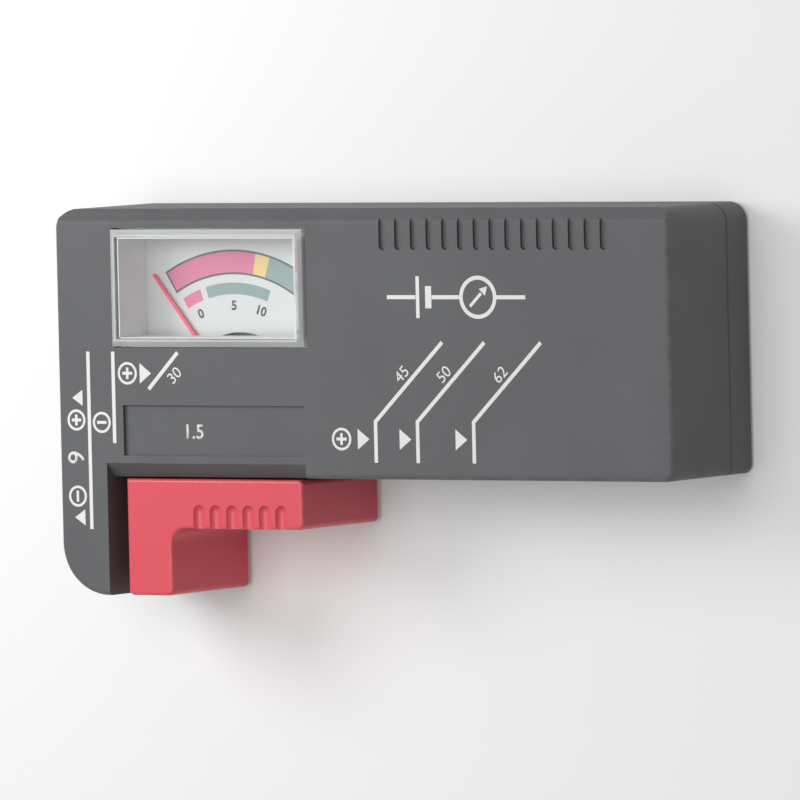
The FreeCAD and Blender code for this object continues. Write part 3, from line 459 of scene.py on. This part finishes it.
# Each plastic has a colour, its range of roughness, its grain's size and depth in millimetres and a
# shift of tone; each metal a colour, its range of roughness and its streaks
FINISHES = {
    "case_plastic": plastic("case_plastic", CASE_GREY, (0.46, 0.62), 0.34, 0.03, 0.06,
                            edge_lift=0.05, gloss=0.3),
    "red_plastic": plastic("red_plastic", ARM_RED, (0.30, 0.42), 0.45, 0.004, 0.02, edge_lift=0.06),
    "clear_plastic": clear_cover("clear_plastic"),
    "white_plastic": plastic("white_plastic", MOULDED_WHITE, (0.38, 0.5), 0.40, 0.006, 0.02),
    "dial_paint": plastic("dial_paint", DIAL_WHITE, (0.42, 0.52), 0.25, 0.003, 0.015),
    "pointer_paint": plastic("pointer_paint", NEEDLE_RED, (0.34, 0.46), 0.20, 0.003, 0.03),
    "plated_strip": metal("plated_strip", NICKEL, (0.3, 0.46), ALONG_Y),
    "screw_steel": metal("screw_steel", ZINC, (0.24, 0.42), TURNED),
    "bearing_brass": metal("bearing_brass", BRASS, (0.2, 0.36), TURNED),
    "rail_brass": metal("rail_brass", BRASS, (0.18, 0.34), ALONG_X),
    "soft_iron": metal("soft_iron", IRON, (0.36, 0.55), ALONG_Z, depth_mm=0.004, tone=0.2),
    "magnet": metal("magnet", FERRITE, (0.42, 0.6), CAST, depth_mm=0.006, tone=0.15),
    "former_aluminium": metal("former_aluminium", ALUMINIUM, (0.26, 0.42), ALONG_X),
    "copper_wire": wound_copper("copper_wire"),
    "spring_bronze": metal("spring_bronze", BRONZE, (0.22, 0.36), TURNED),
    "board_laminate": laminate("board_laminate"),
    "resistor_coat": banded_resistor("resistor_coat"),
    "black_insulation": plastic("black_insulation", WIRE_BLACK, (0.34, 0.48), 0.35, 0.006, 0.06),
    "red_insulation": plastic("red_insulation", WIRE_RED, (0.32, 0.46), 0.35, 0.006, 0.05),
}
for subpart in frame["record"]["subparts"]:
    finish = FINISHES[subpart["material_slot"]]
    frame["nodes"][subpart["node"]].material_slots[0].material = finish


# Tools for the printed pieces
def finish_piece(name, bm, material, body):
    """Turn a bmesh into a piece at the origin that rides on a body."""
    mesh = bpy.data.meshes.new(name)
    bm.to_mesh(mesh)
    bm.free()
    mesh.materials.append(material)
    piece = bpy.data.objects.new(name, mesh)
    bpy.context.scene.collection.objects.link(piece)
    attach(piece, body)


def lay_ink(bm, base, thickness):
    """Give flat shapes their thickness and lay them on a surface at the height base."""
    bmesh.ops.recalc_face_normals(bm, faces=bm.faces)
    bmesh.ops.solidify(bm, geom=list(bm.faces), thickness=thickness)
    lowest = min(vertex.co.z for vertex in bm.verts)
    bmesh.ops.translate(bm, verts=bm.verts, vec=UP * (base - lowest))
    bmesh.ops.recalc_face_normals(bm, faces=bm.faces)


def stroke(bm, points, width):
    """A flat line of even width through the points, mitred at its corners."""
    ways = [(ahead - here).normalized() for here, ahead in zip(points, points[1:])]
    edge = None
    for index, point in enumerate(points):
        before = ways[max(index - 1, 0)]
        after = ways[min(index, len(ways) - 1)]
        along = (before + after).normalized()
        side = UP.cross(along) * (width / 2 / along.dot(after))
        if edge is None:
            ends = [bm.verts.new(point + side), bm.verts.new(point - side)]
            edge = bm.edges.new(ends)
            continue
        made = bmesh.ops.extrude_edge_only(bm, edges=[edge])["geom"]
        edge = next(item for item in made if isinstance(item, bmesh.types.BMEdge))
        flank = UP.cross(before)
        reached = sorted(edge.verts, key=lambda vertex: (vertex.co - points[index - 1]).dot(flank))
        reached[0].co = point - side
        reached[1].co = point + side


def clockwise(turn):
    """The direction that lies this many degrees clockwise from straight up the face."""
    return Vector((math.sin(math.radians(turn)), math.cos(math.radians(turn)), 0))


def arc_band(bm, centre, inner, outer, start, end, steps):
    """Part of a flat ring; start and end are degrees clockwise from straight up."""
    way = clockwise(start)
    edge = bm.edges.new([bm.verts.new(centre + way * inner), bm.verts.new(centre + way * outer)])
    bmesh.ops.spin(bm, geom=[*edge.verts, edge], cent=centre, axis=-UP,
                   angle=math.radians(end - start), steps=steps, use_merge=end - start == 360)


# Length and base of the three-sided circle with a radius of 1
TRIANGLE_LENGTH = 1.5
TRIANGLE_BASE = math.sqrt(3)


def arrowhead(bm, centre, length, base, turn):
    """A filled arrowhead; turn is the direction of its tip in degrees from +X."""
    place = Matrix.Translation(centre) @ Matrix.Rotation(math.radians(turn), 4, "Z")
    stretch = Matrix.Diagonal((length / TRIANGLE_LENGTH, base / TRIANGLE_BASE, 1, 1))
    tip_to_x = Matrix.Rotation(math.radians(-90), 4, "Z")
    bmesh.ops.create_circle(bm, cap_ends=True, segments=3, radius=1.0,
                            matrix=place @ stretch @ tip_to_x)


# Height of a digit as a share of the font's size
DIGIT_SHARE = 0.7


def numeral(bm, text, centre, height, turn=0.0, weight=0.0):
    """A plain number, centred and turned, added as flat faces; weight thickens its lines."""
    curve = bpy.data.curves.new("numeral", "FONT")
    curve.body = text
    curve.offset = weight
    curve.size = height / DIGIT_SHARE
    curve.align_x = "CENTER"
    curve.align_y = "CENTER"
    shown = bpy.data.objects.new("numeral", curve)
    bpy.context.scene.collection.objects.link(shown)
    bpy.context.view_layer.update()
    mesh = bpy.data.meshes.new_from_object(shown)
    bpy.data.objects.remove(shown)
    mesh.transform(Matrix.Translation(centre) @ Matrix.Rotation(math.radians(turn), 4, "Z"))
    bm.from_mesh(mesh)
    bpy.data.meshes.remove(mesh)


# Print on the face; places are millimetres from the lower left corner of the face
INK = 0.03 * MM
LINE_W = 0.62 * MM
RING_W = 0.4 * MM
RING_STEPS = 40
BAR_W = 0.46 * MM
BAR_SHARE = 0.52
LEVEL = Vector((1, 0, 0))
UPRIGHT = Vector((0, 1, 0))


def on_face(across, up):
    return Vector((shell_low.x + across * MM, shell_low.y + up * MM, FACE_Z))


def line(bm, points, width=LINE_W):
    stroke(bm, [on_face(*point) for point in points], width)


def minus_sign(bm, centre, radius, way):
    """A ring with one bar that runs this way."""
    arc_band(bm, centre, radius - RING_W, radius, 0, 360, RING_STEPS)
    reach = way * radius * BAR_SHARE
    stroke(bm, [centre - reach, centre + reach], BAR_W)


def plus_sign(bm, centre, radius):
    """A ring with a level bar and, above and below that, the two halves of an upright bar."""
    minus_sign(bm, centre, radius, LEVEL)
    for way in (-UPRIGHT, UPRIGHT):
        stroke(bm, [centre + way * BAR_W / 2, centre + way * radius * BAR_SHARE], BAR_W)


# Marks on the leg; those at the left edge are read with that edge up
SIGN_R = 1.65 * MM
OUTER_LINE = [(5.7, 10.3), (5.7, 37.9)]
INNER_LINE = [(10.25, 23.7), (10.25, 37.9)]
SIDE_ARROWS = [(3.9, 12.1), (3.9, 30.7)]
SIDE_ARROW = (1.9 * MM, 2.5 * MM)
SIDE_MINUS = (3.25, 15.4)
SIDE_PLUS = (3.3, 27.25)
INNER_MINUS = (7.95, 26.9)
VOLTS_PLACE = (3.3, 21.4)
VOLTS_H = 3.0 * MM
VOLTS_WEIGHT = 0.03 * MM
face_bm = bmesh.new()
line(face_bm, OUTER_LINE)
line(face_bm, INNER_LINE)
for place in SIDE_ARROWS:
    arrowhead(face_bm, on_face(*place), *SIDE_ARROW, 180)
minus_sign(face_bm, on_face(*SIDE_MINUS), SIGN_R, UPRIGHT)
plus_sign(face_bm, on_face(*SIDE_PLUS), SIGN_R)
numeral(face_bm, "9", on_face(*VOLTS_PLACE), VOLTS_H, 90, VOLTS_WEIGHT)
minus_sign(face_bm, on_face(*INNER_MINUS), SIGN_R, LEVEL)

# Marks for the places of the arm, each with the length in millimetres that it clamps there
LARGE_SIGN_R = 1.75 * MM
ARROW = (2.1 * MM, 3.2 * MM)
LENGTH_H = 1.8 * MM
SHORT_PLUS = (12.85, 34.55)
SHORT_ARROW = (15.8, 34.55)
SHORT_LINE = [(16.7, 32.1), (22.1, 37.8)]
SHORT_LENGTH = (21.5, 34.2)
ARM_MARKS = {"45": 57.65, "50": 65.15, "62": 75.15}
ARM_PLUS_X = 51.5
MARK_LOW = 21.0
MARK_ELBOW = 27.3
MARK_RUN = 12.2
MARK_Y = 24.6
ARROW_BACK = 2.55
LENGTH_ASIDE = 1.15
plus_sign(face_bm, on_face(*SHORT_PLUS), LARGE_SIGN_R)
arrowhead(face_bm, on_face(*SHORT_ARROW), *ARROW, 0)
line(face_bm, SHORT_LINE)
numeral(face_bm, "30", on_face(*SHORT_LENGTH), LENGTH_H, 45)
plus_sign(face_bm, on_face(ARM_PLUS_X, MARK_Y), LARGE_SIGN_R)
for length, foot in ARM_MARKS.items():
    arrowhead(face_bm, on_face(foot - ARROW_BACK, MARK_Y), *ARROW, 0)
    line(face_bm, [(foot, MARK_LOW), (foot, MARK_ELBOW), (foot + MARK_RUN, MARK_ELBOW + MARK_RUN)])
    beside = on_face(foot + MARK_RUN / 2 - LENGTH_ASIDE, MARK_ELBOW + MARK_RUN / 2 + LENGTH_ASIDE)
    numeral(face_bm, length, beside, LENGTH_H, 45)

# Circuit symbol of a source on a meter, above the marks
SYMBOL_Y = 46.4
METER_X = 76.4
METER_R = 3.3
METER_STEPS = 64
WIRES = [(60.2, 65.3), (68.2, METER_X - METER_R), (METER_X + METER_R, 84.8)]
LONG_PLATE = (65.7, 3.2, LINE_W)
SHORT_PLATE = (67.6, 1.7, 1.1 * MM)
NEEDLE = (-1.4, 0.6)
NEEDLE_W = 0.5 * MM
NEEDLE_TIP = 1.05
NEEDLE_HEAD = (1.3 * MM, 1.5 * MM)
for start, end in WIRES:
    line(face_bm, [(start, SYMBOL_Y), (end, SYMBOL_Y)])
for across, half, width in (LONG_PLATE, SHORT_PLATE):
    line(face_bm, [(across, SYMBOL_Y - half), (across, SYMBOL_Y + half)], width)
arc_band(face_bm, on_face(METER_X, SYMBOL_Y), METER_R * MM - LINE_W, METER_R * MM, 0, 360, METER_STEPS)
line(face_bm, [(METER_X + along, SYMBOL_Y + along) for along in NEEDLE], NEEDLE_W)
arrowhead(face_bm, on_face(METER_X + NEEDLE_TIP, SYMBOL_Y + NEEDLE_TIP), *NEEDLE_HEAD, 45)
lay_ink(face_bm, FACE_Z, INK)
white_ink = plastic("white_ink", PRINT_WHITE, (0.5, 0.62), 0.18, 0.004, 0.03)
finish_piece("face_print", face_bm, white_ink, "case")

# Number in the recessed panel, at the panel's own depth
PANEL_DEPTH = 0.6 * MM
PANEL_NUMBER = (24.4, 25.4)
PANEL_NUMBER_H = 2.2 * MM
PANEL_WEIGHT = 0.05 * MM
panel_bm = bmesh.new()
numeral(panel_bm, "1.5", on_face(*PANEL_NUMBER), PANEL_NUMBER_H, 0.0, PANEL_WEIGHT)
lay_ink(panel_bm, FACE_Z - PANEL_DEPTH, INK)
finish_piece("panel_print", panel_bm, white_ink, "case")

# Dial print, in millimetres and degrees about its own centre beside the pivot; the scale's bands
# lie on a dark band that shows round them as a line
DIAL_INK = 0.02 * MM
SCALE_SHIFT = -1.0 * MM
dial_centre = Vector((pivot.x + SCALE_SHIFT, pivot.y, DIAL_Z))
OUTLINE = 0.32
LINE_TURN = 0.8
SCALE = (20.1, 23.3)
UNDERLAY = (SCALE[0] - OUTLINE, SCALE[1] + OUTLINE)
LOWER = (16.7, 18.5)
DIAL_START = -31.0
DIAL_END = 34.0
STEPS_PER_DEGREE = 1.2
DIAL_BANDS = {
    "dial_low_band": ("pink", SCALE, DIAL_START, 10.2),
    "dial_middle_band": ("yellow", SCALE, 10.2, 16.6),
    "dial_good_band": ("green", SCALE, 16.6, DIAL_END),
    "button_low_band": ("pink", LOWER, -30.1, -19.4),
    "button_good_band": ("green", LOWER, -16.0, 21.2),
}
DIAL_NUMBERS = {"0": -24.0, "5": 0.0, "10": 19.0}
NUMBER_R = 14.9 * MM
NUMBER_H = 1.4 * MM
NUMBER_WEIGHT = 0.06 * MM
INKS = {
    "dark": plastic("dark_ink", PRINT_DARK, (0.46, 0.56), 0.2, 0.002, 0.04),
    "pink": plastic("pink_ink", PRINT_PINK, (0.44, 0.54), 0.2, 0.002, 0.03),
    "yellow": plastic("yellow_ink", PRINT_YELLOW, (0.44, 0.54), 0.2, 0.002, 0.03),
    "green": plastic("green_ink", PRINT_GREEN, (0.44, 0.54), 0.2, 0.002, 0.03),
}


def dial_arc(bm, radii, start, end):
    steps = round((end - start) * STEPS_PER_DEGREE)
    arc_band(bm, dial_centre, radii[0] * MM, radii[1] * MM, start, end, steps)


line_bm = bmesh.new()
dial_arc(line_bm, UNDERLAY, DIAL_START - LINE_TURN, DIAL_END + LINE_TURN)
for text, turn in DIAL_NUMBERS.items():
    numeral(line_bm, text, dial_centre + clockwise(turn) * NUMBER_R, NUMBER_H, -turn, NUMBER_WEIGHT)
lay_ink(line_bm, DIAL_Z, DIAL_INK)
finish_piece("dial_lines", line_bm, INKS["dark"], "case")
for name, (ink, radii, start, end) in DIAL_BANDS.items():
    band_bm = bmesh.new()
    dial_arc(band_bm, radii, start, end)
    under = DIAL_INK if radii == SCALE else 0.0
    lay_ink(band_bm, DIAL_Z + under, DIAL_INK)
    finish_piece(name, band_bm, INKS[ink], "case")

# Pale lining inside the walls of the clear cover; below and at the right it leaves room for the
# pointer
LINING_T = 0.15 * MM
LINING_GAP = 0.05 * MM
LINING_IN = COVER_WALL + LINING_GAP + LINING_T / 2
LINING_TOP = 25.2 * MM
POINTER_ROOM = 1.6 * MM
inward = Vector((LINING_IN, LINING_IN, 0))
low_left = WINDOW_LOW + inward
high_right = WINDOW_HIGH - inward
low_right = Vector((high_right.x, low_left.y, 0))
high_left = Vector((low_left.x, high_right.y, 0))
shorten = Vector((LINING_T, 0, 0))
drop = Vector((0, LINING_T, 0))
LINING_WALLS = {
    "cover_lining_left": ([low_left, high_left, high_right], DIAL_Z),
    "cover_lining_right": ([low_left + shorten, low_right, high_right - drop], DIAL_Z + POINTER_ROOM),
}
lining_white = plastic("lining_white", LINING_WHITE, (0.4, 0.5), 0.4, 0.004, 0.02)
for name, (corners, base) in LINING_WALLS.items():
    lining_bm = bmesh.new()
    stroke(lining_bm, corners, LINING_T)
    lay_ink(lining_bm, base, LINING_TOP - base)
    finish_piece(name, lining_bm, lining_white, "case")

# Blank label in the recess of the back
LABEL_W = 61.0 * MM
LABEL_H = 21.0 * MM
LABEL_T = 0.15 * MM
LABEL_R = 1.5 * MM
LABEL_Y = 9.2 * MM
RECESS = 0.4 * MM
label_bm = bmesh.new()
label_place = Matrix.Translation((0, LABEL_Y, RECESS - LABEL_T / 2))
label_size = Matrix.Diagonal((LABEL_W, LABEL_H, LABEL_T, 1))
bmesh.ops.create_cube(label_bm, size=1.0, matrix=label_place @ label_size)
upright_edges = [edge for edge in label_bm.edges
                 if abs(edge.verts[0].co.z - edge.verts[1].co.z) > LABEL_T / 2]
bmesh.ops.bevel(label_bm, geom=upright_edges, offset=LABEL_R, offset_type="OFFSET",
                affect="EDGES", segments=6, profile=0.5, material=-1)
label_vinyl = plastic("label_vinyl", LABEL_GREY, (0.3, 0.4), 0.5, 0.003, 0.02)
finish_piece("blank_label", label_bm, label_vinyl, "case")

# Floor and light
FLOOR_HALF = 6.0
FLOOR_ROUGH = 0.7
FLOOR_LIFT = 0.1
AMBIENT = 0.2
BACKGROUND = 0.92
WHITE_LIGHT = (1, 1, 1, 1)


def seen_directly(tree):
    """Mask of what the eye sees, straight on or by way of gloss and glass."""
    ray = add(tree, "LightPath")
    seen = calculate(tree, "MAXIMUM", ray.outputs["Is Camera Ray"], ray.outputs["Is Glossy Ray"])
    seen = calculate(tree, "MAXIMUM", seen, ray.outputs["Is Transmission Ray"])
    unscattered = calculate(tree, "LESS_THAN", ray.outputs["Diffuse Depth"], 0.5)
    return calculate(tree, "MULTIPLY", seen, unscattered)


def pale_floor(name):
    """Matt floor that keeps the shadow and looks a little lighter than it lights."""
    material, tree, surface = new_material(name)
    surface.inputs["Base Color"].default_value = FLOOR_WHITE
    surface.inputs["Roughness"].default_value = FLOOR_ROUGH
    surface.inputs["Emission Color"].default_value = WHITE_LIGHT
    lift = calculate(tree, "MULTIPLY", seen_directly(tree), FLOOR_LIFT)
    feed(tree, lift, surface.inputs["Emission Strength"])
    return material


def light_world():
    """Even soft light from all round; the eye, gloss and glass see a pale background."""
    world = bpy.data.worlds.new("studio")
    world.use_nodes = True
    tree = world.node_tree
    background = tree.nodes["Background"]
    background.inputs["Color"].default_value = WHITE_LIGHT
    strength = spread(tree, seen_directly(tree), (0.0, 1.0), (AMBIENT, BACKGROUND))
    feed(tree, strength, background.inputs["Strength"])
    bpy.context.scene.world = world


def aim(obj, spot, target):
    """Stand an object at a spot, facing the target, with the top of its view towards +Y."""
    back = (spot - target).normalized()
    across = Vector((0, 1, 0)).cross(back).normalized()
    turn = Matrix((across, back.cross(across), back)).transposed().to_4x4()
    obj.matrix_world = Matrix.Translation(spot) @ turn


def stand_lamp(lamp, way, distance, power):
    lamp.energy = power
    obj = bpy.data.objects.new(lamp.name, lamp)
    bpy.context.scene.collection.objects.link(obj)
    aim(obj, MIDDLE + way.normalized() * distance, MIDDLE)


floor_bm = bmesh.new()
bmesh.ops.create_grid(floor_bm, x_segments=1, y_segments=1, size=FLOOR_HALF)
bmesh.ops.translate(floor_bm, verts=floor_bm.verts, vec=UP * BACK_Z)
floor_mesh = bpy.data.meshes.new("floor")
floor_bm.to_mesh(floor_mesh)
floor_bm.free()
floor_mesh.materials.append(pale_floor("floor_white"))
floor = bpy.data.objects.new("floor", floor_mesh)
bpy.context.scene.collection.objects.link(floor)

KEY_SIZE = 0.15
KEY_WAY = Vector((-0.9, 0.45, 1.0))
KEY_DISTANCE = 0.3
KEY_POWER = 0.38
FILL_ANGLE = math.radians(40)
FILL_WAY = Vector((0.05, 0.12, 1.0))
FILL_DISTANCE = 1.0
FILL_POWER = 1.3
light_world()
key_lamp = bpy.data.lights.new("key_lamp", "AREA")
key_lamp.shape = "DISK"
key_lamp.size = KEY_SIZE
stand_lamp(key_lamp, KEY_WAY, KEY_DISTANCE, KEY_POWER)
fill_lamp = bpy.data.lights.new("fill_lamp", "SUN")
fill_lamp.angle = FILL_ANGLE
stand_lamp(fill_lamp, FILL_WAY, FILL_DISTANCE, FILL_POWER)

# Camera
VIEW_TURN = math.radians(31.2)
VIEW_RISE = math.radians(2.7)
VIEW_ROLL = math.radians(-1.3)
VIEW_DISTANCE = 2.0
SENSOR = 36
SEEN_W = 106 * MM
SEEN_SHARE = 0.86
view_back = Vector((math.sin(VIEW_TURN) * math.cos(VIEW_RISE), math.sin(VIEW_RISE),
                    math.cos(VIEW_TURN) * math.cos(VIEW_RISE)))
camera_data = bpy.data.cameras.new("camera")
camera_data.lens = SENSOR * VIEW_DISTANCE * SEEN_SHARE / SEEN_W
camera_data.sensor_width = SENSOR
camera = bpy.data.objects.new("camera", camera_data)
bpy.context.scene.collection.objects.link(camera)
aim(camera, MIDDLE + view_back * VIEW_DISTANCE, MIDDLE)
camera.matrix_world = camera.matrix_world @ Matrix.Rotation(VIEW_ROLL, 4, "Z")
bpy.context.scene.camera = camera
bpy.context.scene.view_settings.view_transform = "Standard"
